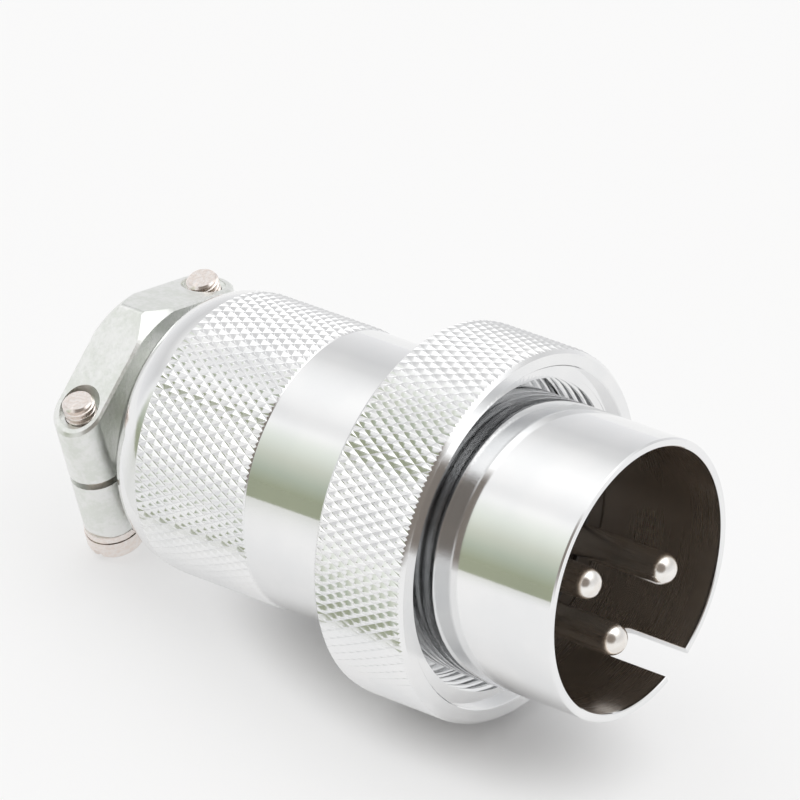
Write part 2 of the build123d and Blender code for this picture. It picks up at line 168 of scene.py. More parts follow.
# Clamp screws
SCREW_PLACES = {side: (INTO_PLUG @ Vector(JOINTS[f"screw_{side}_turn"]["pos_m"])).y for side in SCREWS}
SCREW_SPACING = SCREW_PLACES["left"] - SCREW_PLACES["right"]
FLAT_AT_SCREW = JAW.top - math.tan(CLAMP_ROOF_SLOPE) * SCREW_SPACING / 2
SCREW_D = 3.0
SCREW_PITCH = 0.5
SCREW_MINOR_R = 1.22
SCREW_TIP_CHAMFER = 0.25
SCREW_HOLE_D = 3.1
SCREW_CLEAR_D = 3.4
SCREW_EXIT_D = 4.0
SCREW_EXIT_DEPTH = 1.0
SCREW_HEAD_D = 5.5
SCREW_HEAD_H = 2.1
SCREW_HEAD_ROUND = 1.0
SCREW_SLOT_W = 0.8
SCREW_SLOT_DEPTH = 1.1
SADDLE_SEAT_DEPTH = 1.15

# Contacts
CONTACT_TIP = Reach("contact_pin_1").front
CONTACT_R = 1.5
CONTACT_COLLAR_R = 1.9
CONTACT_COLLAR_T = 1.4
SOLDER_CUP_DEPTH = 5.0
SOLDER_CUP_WALL = 0.5
SOLDER_CUP_OPENING = 3.6

# Mesh fineness: steps round a whole turn, then steps of single arcs
SHELL_STEPS = 360
NUT_THREAD_STEPS = 160
NECK_STEPS = 128
ROUND_STEPS = 64
SCREW_THREAD_STEPS = 40
EDGE_STEPS = 16
SHOULDER_STEPS = 14
NOSE_STEPS = 12
RIDGE_STEPS = 6
HEAD_STEPS = 6
SMOOTH_LIMIT = math.radians(28)

# Camera, fitted to the photograph: its place from the rim and its directions, along the plug's own axes
CAMERA_PLACE = Vector((0.321276, -0.33378, 0.41326))
CAMERA_BACK = Vector((0.55157, -0.53373, 0.64101))
CAMERA_UP = Vector((-0.2786, 0.60648, 0.7447))
CAMERA_LENS = 319.375
CAMERA_SENSOR = 36.0

# Table: plain white is added outside an oval round the plug, so the oval, where the plug's shadow is deepest,
# holds a painted shadow
TABLE_SIZE = 3.0
TABLE_WHITE = (0.956, 0.956, 0.956, 1.0)
TABLE_WHITE_SHARE = 0.6
PAINTED_SHADOW_MIDDLE_X = 0.009
PAINTED_SHADOW_STRETCH = 1.8
PAINTED_SHADOW_CORE, PAINTED_SHADOW_END = 0.003, 0.014

# Olive card that only the plate mirrors, a painted reflection: the corner of its dark field, and a faint fading
# edge of painted shade past that
CARD_CORNER = (-0.052, -0.056)
CARD_SLANT = 0.8
CARD_SIZE = 1.44
CARD_LIFT = 0.0005
CARD_SHADE_MARGIN = 0.04
CARD_SHADE_MARGIN_SHARE = 0.3


def greys(*stops):
    """Ramp stops of plain grey, from pairs of a height and a brightness."""
    return [(height, (grey, grey, grey)) for height, grey in stops]


# Light by height, from 0 at the horizon to 1 overhead
CEILING = greys((0.86, 1.52), (1.0, 1.66))
TENT = [(0.0, (0.9, 0.9, 0.91)), (0.47, (0.71, 0.71, 0.715))] + greys((0.6, 0.79), (0.72, 1.05)) + CEILING
FRONT_WALL = greys((0.0, 0.93), (0.5, 1.0), (0.72, 1.12)) + CEILING
ROOM = [
    (0.0, (0.36, 0.39, 0.28)),
    (0.15, (0.46, 0.51, 0.42)),
    (0.31, (0.64, 0.67, 0.58)),
    (0.46, (0.84, 0.88, 0.81)),
    (0.6, (1.03, 1.04, 1.02)),
    *greys((0.72, 1.14)),
    *CEILING,
]

# Where the light changes: azimuths turn from +Y towards +X, and edges are cosines off a direction
FRONT_AZIMUTH = math.radians(178)
FRONT_EDGE = (0.28, 0.5)
GAP_AZIMUTH = math.radians(-141)
GAP_HALF, GAP_EDGE = math.radians(9), math.radians(10)
CAMERA_SHADE = (0.25, 0.22, 0.195)
CAMERA_SHADE_EDGE = (0.76, 0.9)


class Value:
    """A socket's value in a node tree. Python's operators on it add Math nodes."""

    def __init__(self, nodes, socket):
        self.nodes, self.socket = nodes, socket

    def maths(self, operation, *inputs):
        """Adds one Math node over the inputs."""
        return self.nodes.add("ShaderNodeMath", {"operation": operation}, dict(enumerate(inputs)))

    def __add__(self, other):
        return self.maths("ADD", self, other)

    def __sub__(self, other):
        return self.maths("SUBTRACT", self, other)

    def __rsub__(self, other):
        return self.maths("SUBTRACT", other, self)

    def __mul__(self, other):
        return self.maths("MULTIPLY", self, other)

    __radd__ = __add__
    __rmul__ = __mul__

    def between(self, low, high):
        """0 below low, 1 above high and a smooth rise between them."""
        sockets = {"Value": self, "From Min": low, "From Max": high}
        return self.nodes.add("ShaderNodeMapRange", {"interpolation_type": "SMOOTHSTEP"}, sockets)


class Nodes:
    """A node tree to which nodes are added one call at a time."""

    def __init__(self, tree):
        self.tree = tree

    def add(self, kind, settings=None, sockets=None, output=0):
        """Adds a node with its settings and its sockets' values or links, and returns one output."""
        made = self.tree.nodes.new(kind)
        for setting, value in (settings or {}).items():
            if setting == "stops":
                self.set_stops(made.color_ramp, value)
            else:
                setattr(made, setting, value)
        for name, value in (sockets or {}).items():
            self.feed(made.inputs[name], value)
        return Value(self, made.outputs[output])

    def set_stops(self, ramp, stops):
        """Gives a colour ramp its stops, each a position and a colour."""
        while len(ramp.elements) < len(stops):
            ramp.elements.new(1.0)
        for element, (position, colour) in zip(ramp.elements, stops):
            element.position, element.color = position, (*colour, 1.0)

    def feed(self, socket, value):
        """Links a Value to the socket, or sets the socket to a plain number, colour or vector."""
        if isinstance(value, Value):
            self.tree.links.new(value.socket, socket)
        else:
            socket.default_value = value

    def split(self, vector, names="XYZ"):
        """The parts of a vector, by name."""
        return [self.add("ShaderNodeSeparateXYZ", {}, {"Vector": vector}, name) for name in names]

    def mix(self, mask, first, second):
        """A colour that goes from first to second as mask goes from 0 to 1."""
        made = self.tree.nodes.new("ShaderNodeMix")
        made.data_type = "RGBA"
        # Each kind of data has sockets of the same names, so those for colours go by number
        factor, start, end, result = made.inputs[0], made.inputs[6], made.inputs[7], made.outputs[2]
        for socket, value in ((factor, mask), (start, first), (end, second)):
            self.feed(socket, value if isinstance(value, Value) else (*value, 1.0))
        return Value(self, result)


class Finish(Nodes):
    """A metal or plastic finish: one material round a Principled shader."""

    def __init__(self, name, metallic):
        self.material = bpy.data.materials.new(name)
        self.material.use_nodes = True
        super().__init__(self.material.node_tree)
        self.shader = self.tree.nodes["Principled BSDF"]
        self.shader.inputs["Metallic"].default_value = metallic

    def on_frame(self):
        """Places in metres of the shared frame."""
        return self.add("ShaderNodeTexCoord", output="Object")

    def on_plug(self):
        """Places on the plug in millimetres, X along its axis."""
        turn = {"Location": RIM, "Rotation": PLUG_TURN.to_euler(), "Scale": (MM, MM, MM)}
        return self.add("ShaderNodeMapping", {"vector_type": "TEXTURE"}, {"Vector": self.on_frame(), **turn})

    def noise(self, place, scale, detail=2.0, roughness=0.5):
        """A soft, cloudy pattern from 0 to 1."""
        sockets = {"Vector": place, "Scale": scale, "Detail": detail, "Roughness": roughness}
        return self.add("ShaderNodeTexNoise", {}, sockets)

    def turning_marks(self, place, scale):
        """Fine lines round the plug, as a lathe tool leaves them."""
        (along,) = self.split(place, "X")
        sockets = {"W": along, "Scale": scale, "Detail": 3.0}
        return self.add("ShaderNodeTexNoise", {"noise_dimensions": "1D"}, sockets)

    def wear(self, colour, roughness, relief=None, depth=0.0, strength=1.0):
        """Sends a colour, a roughness and a relief, whose depth is in millimetres, to the shader."""
        self.feed(self.shader.inputs["Base Color"], colour)
        self.feed(self.shader.inputs["Roughness"], roughness)
        if relief:
            sockets = {"Height": relief, "Distance": depth * MM, "Strength": strength}
            self.feed(self.shader.inputs["Normal"], self.add("ShaderNodeBump", {}, sockets))
        return self.material


def bright_plate():
    """Bright plate on the turned shell: faint turning marks, a thin, uneven film and a duller bore, whose darker,
    browner colour is painted shade inside the sleeve.
    """
    finish = Finish("bright_plate", 1.0)
    place = finish.on_plug()
    marks = finish.turning_marks(place, 9.0)
    film = finish.noise(place, 0.16, detail=4.0)
    x, y, z = finish.split(place)
    off_bore = (y * y + z * z).between((SLEEVE_BORE_R + FIT) ** 2, (SLEEVE_BORE_R + 3 * FIT) ** 2)
    behind_rim = (0.0 - x).between(0.1, 0.5)
    bore_dull_and_painted_shade = (1.0 - off_bore) * behind_rim
    outside = finish.mix(film.between(0.35, 0.7), (0.86, 0.865, 0.87), (0.9, 0.9, 0.9))
    # Painted shade: inside the sleeve the plate's colour goes darker and browner. The added roughness there is the
    # plate's duller finish.
    colour = finish.mix(bore_dull_and_painted_shade, outside, (0.75, 0.68, 0.61))
    roughness = film * 0.03 + 0.045 + marks * 0.02 + bore_dull_and_painted_shade * 0.2
    return finish.wear(colour, roughness, marks * (1.0 - bore_dull_and_painted_shade), depth=0.0012, strength=0.5)


def knurled_plate():
    """Bright plate on rolled diamonds, a little duller and uneven from the rolling."""
    finish = Finish("knurled_plate", 1.0)
    place = finish.on_plug()
    grain = finish.noise(place, 2.2, detail=3.0)
    film = finish.noise(place, 0.2, detail=3.0)
    colour = finish.mix(film.between(0.3, 0.7), (0.85, 0.855, 0.86), (0.89, 0.89, 0.89))
    return finish.wear(colour, grain * 0.08 + 0.08, grain, depth=0.006, strength=0.6)


def cast_plate():
    """Satin plate on the cast jaws: a soft orange peel and a faint green-grey stain."""
    finish = Finish("cast_plate", 1.0)
    place = finish.on_plug()
    peel = finish.noise(place, 1.9, detail=4.0, roughness=0.6)
    stain = finish.noise(place, 0.4, detail=3.0)
    colour = finish.mix((stain + peel).between(0.8, 1.2), (0.79, 0.81, 0.77), (0.88, 0.885, 0.87))
    return finish.wear(colour, peel * 0.16 + 0.25, peel, depth=0.04, strength=0.8)


def contact_plate():
    """Silver plate on the contacts, warm where it has begun to tarnish."""
    finish = Finish("contact_plate", 1.0)
    place = finish.on_plug()
    tarnish = finish.noise(place, 0.7, detail=3.0)
    marks = finish.turning_marks(place, 14.0)
    colour = finish.mix(tarnish.between(0.35, 0.7), (0.93, 0.91, 0.88), (0.86, 0.82, 0.77))
    return finish.wear(colour, tarnish * 0.08 + 0.17, marks, depth=0.0015, strength=0.5)


def screw_nickel():
    """Nickel plate on the clamp screws, pinkish and a little dull."""
    finish = Finish("screw_nickel", 1.0)
    grain = finish.noise(finish.on_plug(), 3.0, detail=4.0)
    colour = finish.mix(grain.between(0.35, 0.65), (0.86, 0.78, 0.73), (0.9, 0.85, 0.82))
    return finish.wear(colour, grain * 0.14 + 0.14, grain, depth=0.02, strength=0.6)


def insulator_black():
    """Moulded black insert with a fine moulding grain."""
    finish = Finish("insulator_black", 0.0)
    grain = finish.noise(finish.on_plug(), 4.0, detail=3.0)
    colour = finish.mix(grain.between(0.3, 0.7), (0.016, 0.012, 0.009), (0.026, 0.02, 0.015))
    return finish.wear(colour, grain * 0.15 + 0.25, grain, depth=0.01, strength=0.5)


def spring_steel():
    """Oiled spring steel of the insert's snap ring and the screws' washers."""
    finish = Finish("spring_steel", 1.0)
    oil = finish.noise(finish.on_plug(), 0.8, detail=3.0)
    colour = finish.mix(oil.between(0.3, 0.7), (0.4, 0.4, 0.42), (0.5, 0.49, 0.48))
    return finish.wear(colour, oil * 0.15 + 0.25, oil, depth=0.01, strength=0.4)


def nylon():
    """Natural nylon of the slip washer."""
    finish = Finish("nylon", 0.0)
    cloud = finish.noise(finish.on_plug(), 0.9)
    colour = finish.mix(cloud, (0.8, 0.78, 0.72), (0.87, 0.86, 0.82))
    return finish.wear(colour, cloud * 0.1 + 0.4, cloud, depth=0.01, strength=0.4)


FINISHES = {
    "bright_plate": bright_plate(),
    "knurled_plate": knurled_plate(),
    "cast_plate": cast_plate(),
    "contact_plate": contact_plate(),
    "screw_nickel": screw_nickel(),
    "insulator_black": insulator_black(),
    "spring_steel": spring_steel(),
    "nylon": nylon(),
}


def turned(outline, steps=SHELL_STEPS):
    """A shape turned about the plug's axis from the (station, radius) corners of a closed outline."""
    shape = bmesh.new()
    corners = [shape.verts.new((-station, 0.0, radius)) for station, radius in outline]
    edges = [shape.edges.new((corners[index - 1], corners[index])) for index in range(len(corners))]
    whole = {"cent": (0, 0, 0), "axis": (1, 0, 0), "angle": 2 * math.pi, "steps": steps, "use_merge": True}
    bmesh.ops.spin(shape, geom=corners + edges, **whole)
    bmesh.ops.remove_doubles(shape, verts=shape.verts, dist=WELD)
    bmesh.ops.recalc_face_normals(shape, faces=shape.faces)
    return shape


def bar(start, end, radius):
    """A round bar on the plug's axis between two stations."""
    return turned([(start, 0), (start, radius), (end, radius), (end, 0)], ROUND_STEPS)


def stand(shape, y):
    """Turns a shape from the plug's axis to a clamp screw's: what was at +X ends up on top."""
    turn = Matrix.Translation((-CLAMP_MIDDLE, y, 0)) @ Matrix.Rotation(-math.pi / 2, 4, "Y")
    bmesh.ops.transform(shape, matrix=turn, verts=shape.verts)
    return shape


def screw_way(radius, seat, seat_radius, y):
    """The way of a clamp screw through a jaw: a hole that is wider from its seat's height up."""
    outline = [
        (-JAW.top, 0),
        (-JAW.top, seat_radius),
        (-seat, seat_radius),
        (-seat, radius),
        (PAST, radius),
        (PAST, 0),
    ]
    return stand(turned(outline, ROUND_STEPS), y)


def block(low, high):
    """A box between two corners."""
    low, high = Vector(low), Vector(high)
    shape = bmesh.new()
    bmesh.ops.create_cube(shape, size=1.0)
    bmesh.ops.scale(shape, vec=high - low, verts=shape.verts)
    bmesh.ops.translate(shape, vec=(low + high) / 2, verts=shape.verts)
    return shape


def as_object(shape, name):
    """A new object that holds the shape, which is used up."""
    mesh = bpy.data.meshes.new(name)
    shape.to_mesh(mesh)
    shape.free()
    made = bpy.data.objects.new(name, mesh)
    bpy.context.collection.objects.link(made)
    return made


def combine(shape, tool, operation="DIFFERENCE"):
    """The shape less the tool, with it, or only where both are. Both are used up."""
    base, other = as_object(shape, "base"), as_object(tool, "tool")
    modifier = base.modifiers.new("combine", "BOOLEAN")
    modifier.operation, modifier.solver, modifier.object = operation, "EXACT", other
    result = bmesh.new()
    result.from_object(base, bpy.context.evaluated_depsgraph_get())
    for used in (base, other):
        mesh = used.data
        bpy.data.objects.remove(used)
        bpy.data.meshes.remove(mesh)
    return result


def join(shape, *others):
    """Puts the others into the shape as they are. They are used up."""
    for other in others:
        mesh = bpy.data.meshes.new("joined")
        other.to_mesh(mesh)
        other.free()
        shape.from_mesh(mesh)
        bpy.data.meshes.remove(mesh)
    return shape


def cut_off(shape, point, normal, dist=WELD):
    """Cuts a shape with a plane and takes off what lies on the normal's side."""
    geometry = list(shape.verts) + list(shape.edges) + list(shape.faces)
    bmesh.ops.bisect_plane(shape, geom=geometry, plane_co=point, plane_no=normal, clear_outer=True, dist=dist)


def shaved(shape, point, normal):
    """A closed shape without what lies on the normal's side of a plane, and with the cut closed."""
    cut_off(shape, point, normal)
    bmesh.ops.holes_fill(shape, edges=[edge for edge in shape.edges if edge.is_boundary], sides=0)
    return shape


def put(shape, name, finish, body, *nodes):
    """Lays a finished shape in the shared frame as a piece that stands for its nodes."""
    bmesh.ops.transform(shape, matrix=PLUG, verts=shape.verts)
    shape.normal_update()
    for face in shape.faces:
        face.smooth = True
    for edge in shape.edges:
        edge.smooth = edge.calc_face_angle(0.0) < SMOOTH_LIMIT
    made = as_object(shape, name)
    made.data.materials.append(FINISHES[finish])
    flat_faces_lead = made.modifiers.new("flat faces lead", "WEIGHTED_NORMAL")
    flat_faces_lead.keep_sharp = True
    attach(made, body)
    if nodes:
        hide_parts(*nodes)


def knurl(start, end, radius):
    """A skin of flat-topped diamonds round the plug between two stations, open at both ends.

    Diamonds lie on every second corner of a grid. The corners between them are where two grooves cross.
    """
    rows = 2 * round((end - start) / KNURL_ROW)
    columns = 2 * round(2 * math.pi * radius / KNURL_WIDTH)
    shape = bmesh.new()
    bmesh.ops.create_grid(shape, x_segments=rows, y_segments=columns, size=0.5)
    floor_r = radius - KNURL_DEPTH
    crests = set()
    for vert in shape.verts:
        row, column = round((vert.co.x + 0.5) * rows), round((vert.co.y + 0.5) * columns)
        if (row + column) % 2:
            crests.add((row, column % columns))
        station, angle = start + (end - start) * row / rows, 2 * math.pi * column / columns
        vert.co = (-station, floor_r * math.sin(angle), floor_r * math.cos(angle))
    bmesh.ops.remove_doubles(shape, verts=shape.verts, dist=WELD)

    def is_crest(vert):
        row = round((-vert.co.x - start) / (end - start) * rows)
        column = round(math.atan2(vert.co.y, vert.co.z) / (2 * math.pi) * columns) % columns
        return (row, column) in crests

    grooves = [vert for vert in shape.verts if not is_crest(vert)]
    tops = [vert for vert in shape.verts if is_crest(vert) and not vert.is_boundary]
    bmesh.ops.connect_verts(shape, verts=grooves)
    bmesh.ops.dissolve_verts(shape, verts=tops)
    bmesh.ops.recalc_face_normals(shape, faces=shape.faces)
    if points_inwards(shape):
        bmesh.ops.reverse_faces(shape, faces=shape.faces)
    raise_diamonds(shape)
    return shape, columns


def points_inwards(skin):
    """True where the faces of an open skin round the plug's axis look at the axis."""
    outwards = 0.0
    for face in skin.faces:
        middle = face.calc_center_median()
        outwards += face.normal.y * middle.y + face.normal.z * middle.z
    return outwards < 0


def raise_diamonds(skin):
    """Raises every face of a skin to a flat-topped diamond. Those cut short by the skin's ends rise less."""
    halves = [face for face in skin.faces if any(edge.is_boundary for edge in face.edges)]
    cut_short = set(halves)
    wholes = [face for face in skin.faces if face not in cut_short]
    for faces, share in ((wholes, 1.0), (halves, KNURL_END_SHARE)):
        for width, height in ((KNURL_FLANK, KNURL_DEPTH - KNURL_CROWN), (KNURL_CROWN_W, KNURL_CROWN)):
            sizes = {"thickness": width * share, "depth": height * share, "use_even_offset": True}
            bmesh.ops.inset_individual(skin, faces=faces, **sizes)


def with_knurl(shape, skin, start, end, radius):
    """Puts a knurled skin in place of the plain wall between two stations, whose rings it shares."""

    def on_wall(vert):
        off = abs(math.hypot(vert.co.y, vert.co.z) - (radius - KNURL_DEPTH))
        return off < NEAR and min(abs(-vert.co.x - start), abs(-vert.co.x - end)) < NEAR

    wall = [face for face in shape.faces if all(on_wall(vert) for vert in face.verts)]
    bmesh.ops.delete(shape, geom=wall, context="FACES")
    join(shape, skin)
    bmesh.ops.remove_doubles(shape, verts=shape.verts, dist=WELD)
    return shape


def threaded_bar(start, end, major_r, minor_r, pitch, columns):
    """A closed bar on the plug's axis with a right-handed thread.

    Its root, flank, crest and flank take a quarter pitch each.
    """
    profile = (minor_r, minor_r, major_r, major_r)
    rows = len(profile) * (math.ceil((end - start) / pitch) + 2)
    shape = bmesh.new()
    bmesh.ops.create_grid(shape, x_segments=rows, y_segments=columns, size=0.5)
    for vert in shape.verts:
        row, column = round((vert.co.x + 0.5) * rows), round((vert.co.y + 0.5) * columns)
        station = start + (row / len(profile) + column / columns - 2) * pitch
        angle, radius = 2 * math.pi * column / columns, profile[row % len(profile)]
        vert.co = (-station, radius * math.sin(angle), radius * math.cos(angle))
    bmesh.ops.remove_doubles(shape, verts=shape.verts, dist=WELD / 2)
    for station, outwards in ((start, 1), (end, -1)):
        cut_off(shape, (-station, 0, 0), (outwards, 0, 0), WELD / 4)
    close_to_axis(shape)
    bmesh.ops.remove_doubles(shape, verts=shape.verts, dist=WELD / 2)
    bmesh.ops.recalc_face_normals(shape, faces=shape.faces)
    return shape


def close_to_axis(shape):
    """Closes the open ends of a shape round the plug's axis with faces that meet on the axis."""
    edges = [edge for edge in shape.edges if edge.is_boundary]
    for made in bmesh.ops.extrude_edge_only(shape, edges=edges)["geom"]:
        if isinstance(made, bmesh.types.BMVert):
            made.co.y = made.co.z = 0.0


def front_shell():
    """Sleeve, flange, barrel and rear thread in one turning, with the keyway cut in the rim."""
    flange_end = FLANGE_STATION + FLANGE_T
    relief_r = REAR_THREAD_R - REAR_THREAD_RELIEF_DEPTH
    relief_end = BACK.front + REAR_THREAD_RELIEF_W
    groove_r = REAR_BORE_R + SNAP_RING_DEPTH
    groove = INSERT_STATION + INSERT_T
    shape = turned(
        [
            (0, SLEEVE_R - RIM_EASE),
            (RIM_EASE, SLEEVE_R),
            (FLANGE_STATION, SLEEVE_R),
            (FLANGE_STATION, FLANGE_R),
            (flange_end, FLANGE_R),
            (flange_end, BARREL_R),
            (BACK.front, BARREL_R),
            (BACK.front, relief_r),
            (relief_end, relief_r),
            (relief_end + REAR_THREAD_RELIEF_DEPTH, REAR_THREAD_R),
            (SHELL.rear, REAR_THREAD_R),
            (SHELL.rear, REAR_BORE_R),
            (groove + SNAP_RING_W, REAR_BORE_R),
            (groove + SNAP_RING_W, groove_r),
            (groove, groove_r),
            (groove, REAR_BORE_R),
            (INSERT_STATION, REAR_BORE_R),
            (INSERT_STATION, INSERT_LIP_R),
            (INSERT_LIP_STATION, INSERT_LIP_R),
            (INSERT_LIP_STATION, SLEEVE_BORE_R),
            (RIM_INNER_EASE, SLEEVE_BORE_R),
            (0, SLEEVE_BORE_R + RIM_INNER_EASE),
        ]
    )
    return combine(shape, keyway_cutter())


def keyway_cutter():
    """A bar with a round end that cuts the slot in the rim."""
    half_w, height = KEYWAY_W / 2, SLEEVE_R + PAST
    straight = KEYWAY_LENGTH - half_w
    slot = block((-straight, -half_w, 0), (PAST, half_w, height))
    round_end = bmesh.new()
    sizes = {"radius1": half_w, "radius2": half_w, "depth": height, "segments": ROUND_STEPS}
    bmesh.ops.create_cone(round_end, cap_ends=True, **sizes)
    bmesh.ops.translate(round_end, vec=(-straight, 0, height / 2), verts=round_end.verts)
    shape = combine(slot, round_end, "UNION")
    turn = Matrix.Rotation(math.radians(KEYWAY_ANGLE - 90), 3, "X")
    bmesh.ops.rotate(shape, cent=(0, 0, 0), matrix=turn, verts=shape.verts)
    return shape


def face_seal():
    """Flat black seal on the shell's lip, which makes the sleeve's bottom dark up to its wall."""
    outer, inner = SLEEVE_BORE_R - FIT, INSERT_LIP_R
    face = INSERT_LIP_STATION - SEAL_T
    return turned(
        [
            (face + SEAL_EASE, outer),
            (face, outer - SEAL_EASE),
            (face, inner + SEAL_EASE),
            (face + SEAL_EASE, inner),
            (INSERT_LIP_STATION, inner),
            (INSERT_LIP_STATION, outer),
        ]
    )


def coupling_nut():
    """Knurled nut with a stepped mouth, the coupling thread and the lip that runs on the barrel."""
    face_r = NUT.outer - NUT_CHAMFER
    mouth_r = face_r - NUT_FACE_W
    knurl_start = NUT.front + NUT_CHAMFER - KNURL_DEPTH
    knurl_end = NUT.rear - NUT_CHAMFER + KNURL_DEPTH
    lip = NUT.rear - NUT_LIP_T
    thread_end = lip - NUT_RELIEF_W
    skin, columns = knurl(knurl_start, knurl_end, NUT.outer)
    shape = turned(
        [
            (knurl_start, NUT.outer - KNURL_DEPTH),
            (knurl_end, NUT.outer - KNURL_DEPTH),
            (NUT.rear, face_r),
            (NUT.rear, NUT.inner),
            (lip, NUT.inner),
            (lip, NUT_RELIEF_R),
            (thread_end, NUT_RELIEF_R),
            (thread_end, THREAD_MINOR_R),
            (NUT.front + NUT_MOUTH_DEPTH, THREAD_MINOR_R),
            (NUT.front + NUT_MOUTH_DEPTH, mouth_r),
            (NUT.front + NUT_MOUTH_EASE, mouth_r),
            (NUT.front, mouth_r + NUT_MOUTH_EASE),
            (NUT.front, face_r),
        ],
        columns,
    )
    tap_minor_r = THREAD_MINOR_R - THREAD_ROOT
    tap_end = thread_end + 2 * FIT
    tap = threaded_bar(NUT.front - PAST, tap_end, THREAD_D / 2, tap_minor_r, THREAD_PITCH, NUT_THREAD_STEPS)
    return with_knurl(combine(shape, tap), skin, knurl_start, knurl_end, NUT.outer)


def back_shell():
    """Knurled cap with a bevelled lip and a round shoulder."""
    floor_r = BACK.outer - KNURL_DEPTH
    knurl_start = BACK.front + BACK_LIP_BEVEL - KNURL_DEPTH
    knurl_end = BACK.front + BACK_KNURL_LENGTH
    skin, columns = knurl(knurl_start, knurl_end, BACK.outer)
    shape = turned(
        [
            (knurl_start, floor_r),
            (knurl_end, floor_r),
            *shoulder(knurl_end, floor_r, BACK.rear, BACK.outer - BACK_SHOULDER_DROP),
            (BACK.rear, BACK.inner),
            (CLAMP_LIP_END, BACK.inner),
            (CLAMP_LIP_END, CLAMP_LIP_R + FIT),
            (SHELL.rear, CLAMP_LIP_R + FIT),
            (SHELL.rear, REAR_THREAD_R + FIT),
            (BACK.front, REAR_THREAD_R + FIT),
            (BACK.front, BACK.outer - BACK_LIP_BEVEL),
        ],
        columns,
    )
    return with_knurl(shape, skin, knurl_start, knurl_end, BACK.outer)


def shoulder(start, start_r, end, end_r):
    """Corners of the arc that leaves the knurl along the axis and drops to the rear face."""
    drop, length = start_r - end_r, end - start
    radius = (length**2 + drop**2) / (2 * drop)
    sweep = math.asin(length / radius)
    angles = [sweep * step / SHOULDER_STEPS for step in range(1, SHOULDER_STEPS + 1)]
    return [(start + radius * math.sin(a), start_r - radius * (1 - math.cos(a))) for a in angles]


def jaw_bar():
    """One jaw's bar above the split: round ends, two roof flats with bevelled edges, and a ridge."""
    shape = bmesh.new()
    bmesh.ops.create_circle(shape, cap_ends=True, radius=CLAMP_W / 2, segments=ROUND_STEPS)
    for vert in shape.verts:
        if abs(vert.co.y) > WELD:
            vert.co.y += math.copysign(SCREW_SPACING / 2, vert.co.y)
        vert.co.x -= CLAMP_MIDDLE
        vert.co.z = SPLIT_GAP / 2
    raised = bmesh.ops.extrude_face_region(shape, geom=list(shape.faces))["geom"]
    top = [vert for vert in raised if isinstance(vert, bmesh.types.BMVert)]
    bmesh.ops.translate(shape, vec=(0, 0, JAW.top), verts=top)
    bmesh.ops.recalc_face_normals(shape, faces=shape.faces)
    for side in (1, -1):
        shaved(shape, (0, 0, JAW.top), (0, side * ROOF_FALL, ROOF_RISE))
    shave_ridge(shape)
    shave_round_ends(shape)
    return shape


def shave_ridge(shape):
    """Bevels the ends of the ridge to two cones about the plug's axis, and its top to a narrow strip."""
    flat_r = JAW.top * ROOF_RISE
    slope = (JAW.top - flat_r) / ((CLAMP_W - RIDGE_LENGTH) / 2)
    for end in (1, -1):
        for step in range(-RIDGE_STEPS, RIDGE_STEPS + 1):
            angle = CLAMP_ROOF_SLOPE * step / RIDGE_STEPS
            y, z = math.sin(angle), math.cos(angle)
            edge = (-CLAMP_MIDDLE + end * CLAMP_W / 2, y * flat_r, z * flat_r)
            shaved(shape, edge, (end * slope, y, z))
    shaved(shape, (0, 0, JAW.top - RIDGE_STRIP / 2 * math.tan(CLAMP_ROOF_SLOPE)), (0, 0, 1))


def shave_round_ends(shape):
    """Bevels the edge that a roof flat has round each end of the bar."""
    inset = CLAMP_W / 2 - CAST_EDGE
    for side in (1, -1):
        for step in range(EDGE_STEPS + 1):
            angle = math.pi * step / EDGE_STEPS
            along, across = math.cos(angle), side * math.sin(angle)
            y = side * SCREW_SPACING / 2 + across * inset
            edge = (-CLAMP_MIDDLE + along * inset, y, JAW.top - abs(y) * ROOF_FALL / ROOF_RISE)
            shaved(shape, edge, (along, across + side * ROOF_FALL, ROOF_RISE))


def cable_way():
    """The cable's way through the clamp, with an eased mouth."""
    mouth = JAW.rear - CABLE_MOUTH_EASE
    return turned(
        [
            (JAW.front - PAST, 0),
            (JAW.front - PAST, CABLE_R),
            (mouth, CABLE_R),
            (JAW.rear + PAST, CABLE_R + CABLE_MOUTH_EASE + PAST),
            (JAW.rear + PAST, 0),
        ],
        NECK_STEPS,
    )


def bored_bar(radius, seat, seat_radius):
    """A jaw's bar with the ways of the cable and both screws. They don't meet, so one cut takes all three."""
    screw_ways = [screw_way(radius, seat, seat_radius, y) for y in SCREW_PLACES.values()]
    return combine(jaw_bar(), join(cable_way(), *screw_ways))


def half_neck(start):
    """The half of the neck that a jaw carries in front of its bar."""
    ring = turned([(start, CABLE_R), (start, NECK_R), (NECK_END, NECK_R), (NECK_END, CABLE_R)], NECK_STEPS)
    return shaved(ring, (0, 0, SPLIT_GAP / 2), (0, 0, -1))


def clamp_body():
    """Cast upper jaw with both screws' exits, on a neck whose lip is rolled over inside the back shell."""
    whole_end = BACK.rear + LOOSE
    neck = turned(
        [
            (SHELL.rear, CABLE_R),
            (SHELL.rear, CLAMP_LIP_R),
            (CLAMP_LIP_END, CLAMP_LIP_R),
            (CLAMP_LIP_END, NECK_R),
            (whole_end, NECK_R),
            (whole_end, CABLE_R),
        ],
        NECK_STEPS,
    )
    exit_height = FLAT_AT_SCREW - SCREW_EXIT_DEPTH
    return join(bored_bar(SCREW_HOLE_D / 2, exit_height, SCREW_EXIT_D / 2), neck, half_neck(whole_end - WELD))


